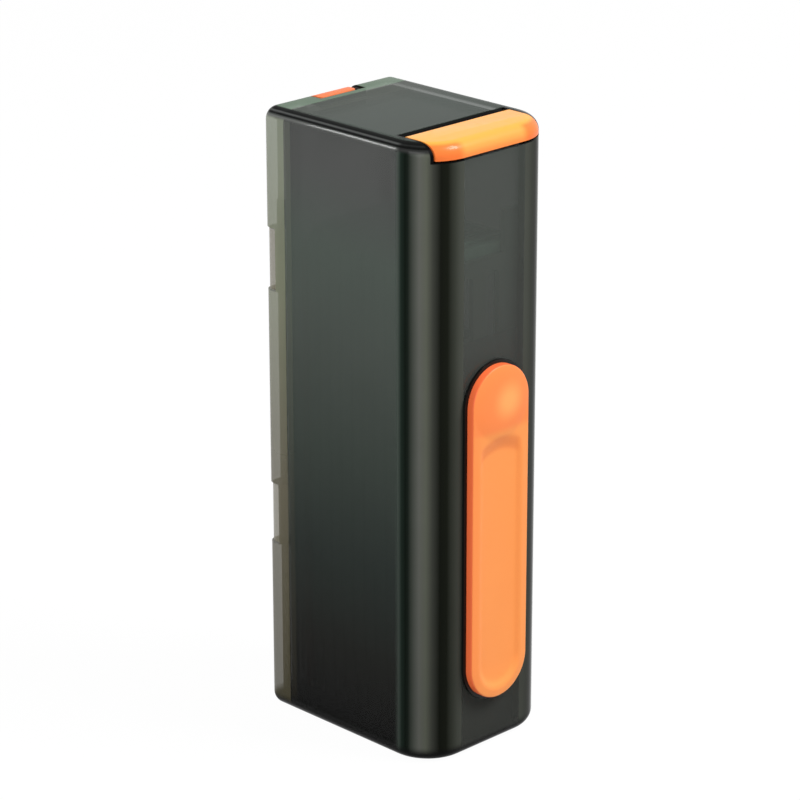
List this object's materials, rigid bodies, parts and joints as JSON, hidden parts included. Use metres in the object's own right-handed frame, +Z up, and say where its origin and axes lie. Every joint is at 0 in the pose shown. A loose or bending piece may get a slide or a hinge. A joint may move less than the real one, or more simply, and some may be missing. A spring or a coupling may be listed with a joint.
{
  "type": "dental floss dispenser",
  "caption": "Upright pocket box of smoke plastic that holds a stack of floss picks; a thumb slider pushes the front pick up through a flip lid, and the box refills from behind.",
  "frame": {"origin": "middle of the flat base, on the surface that the box stands on", "axes": "+Z up along the box's height; -Y is the front with the thumb slider; +X is to the right seen from the front"},
  "size_m": [0.0262, 0.0363, 0.094],
  "materials": {
    "smoke_case": "smoke-coloured translucent moulded plastic, polished",
    "dark_smoke": "dark smoke translucent plastic",
    "guide_smoke": "smoke translucent plastic plate",
    "door_smoke": "olive smoke translucent plastic",
    "orange_gloss": "polished orange moulded plastic",
    "orange_satin": "satin orange moulded plastic",
    "black": "black moulded plastic",
    "steel": "drawn steel wire",
    "pick_plastic": "pale green polystyrene",
    "floss": "flat white floss"
  },
  "bodies": {
    "case": {"case_shell": "smoke_case", "magazine_liner": "dark_smoke", "guide_plate": "guide_smoke", "lid_hinge_pin": "steel", "door_hinge_pin": "steel", "stack_floss_strands": "floss", "stack_pick_2": "pick_plastic", "stack_pick_3": "pick_plastic", "stack_pick_4": "pick_plastic", "stack_pick_5": "pick_plastic", "stack_pick_6": "pick_plastic", "stack_pick_7": "pick_plastic", "stack_pick_8": "pick_plastic", "stack_pick_9": "pick_plastic", "stack_pick_10": "pick_plastic", "stack_pick_11": "pick_plastic"},
    "lid": {"flip_lid": "orange_gloss"},
    "slider": {"slider_pad": "orange_satin", "slider_carriage": "black", "slider_sled": "dark_smoke"},
    "pick": {"front_pick": "pick_plastic", "front_pick_floss": "floss"},
    "door": {"rear_door": "door_smoke"},
    "latch": {"latch_tab": "orange_satin"},
    "follower": {"follower_plate": "orange_satin", "upper_follower_spring": "steel", "lower_follower_spring": "steel"}
  },
  "joints": [
    {"name": "slider_slide", "type": "slide", "parent": "case", "child": "slider", "axis": [0, 0, 1], "range_m": [0, 0.024]},
    {"name": "pick_rise", "type": "slide", "parent": "case", "child": "pick", "axis": [0, 0, 1], "range_m": [0, 0.024]},
    {"name": "lid_hinge", "type": "hinge", "parent": "case", "child": "lid", "pos_m": [0, -0.01005, 0.0928], "axis": [-1, 0, 0], "range_deg": [0, 100]},
    {"name": "door_hinge", "type": "hinge", "parent": "case", "child": "door", "pos_m": [-0.0111, 0.0151, 0.047], "axis": [0, 0, 1], "range_deg": [0, 100]},
    {"name": "latch_slide", "type": "slide", "parent": "door", "child": "latch", "axis": [1, 0, 0], "range_m": [0, 0.0012]},
    {"name": "follower_press", "type": "slide", "parent": "door", "child": "follower", "axis": [0, 1, 0], "range_m": [0, 0.0009], "deforming": ["upper_follower_spring", "lower_follower_spring"]}
  ],
  "couplings": [
    {"joint": "pick_rise", "follows": "slider_slide", "ratio": 1},
    {"joint": "lid_hinge", "follows": "slider_slide", "rad_per_m": 72.7}
  ]
}
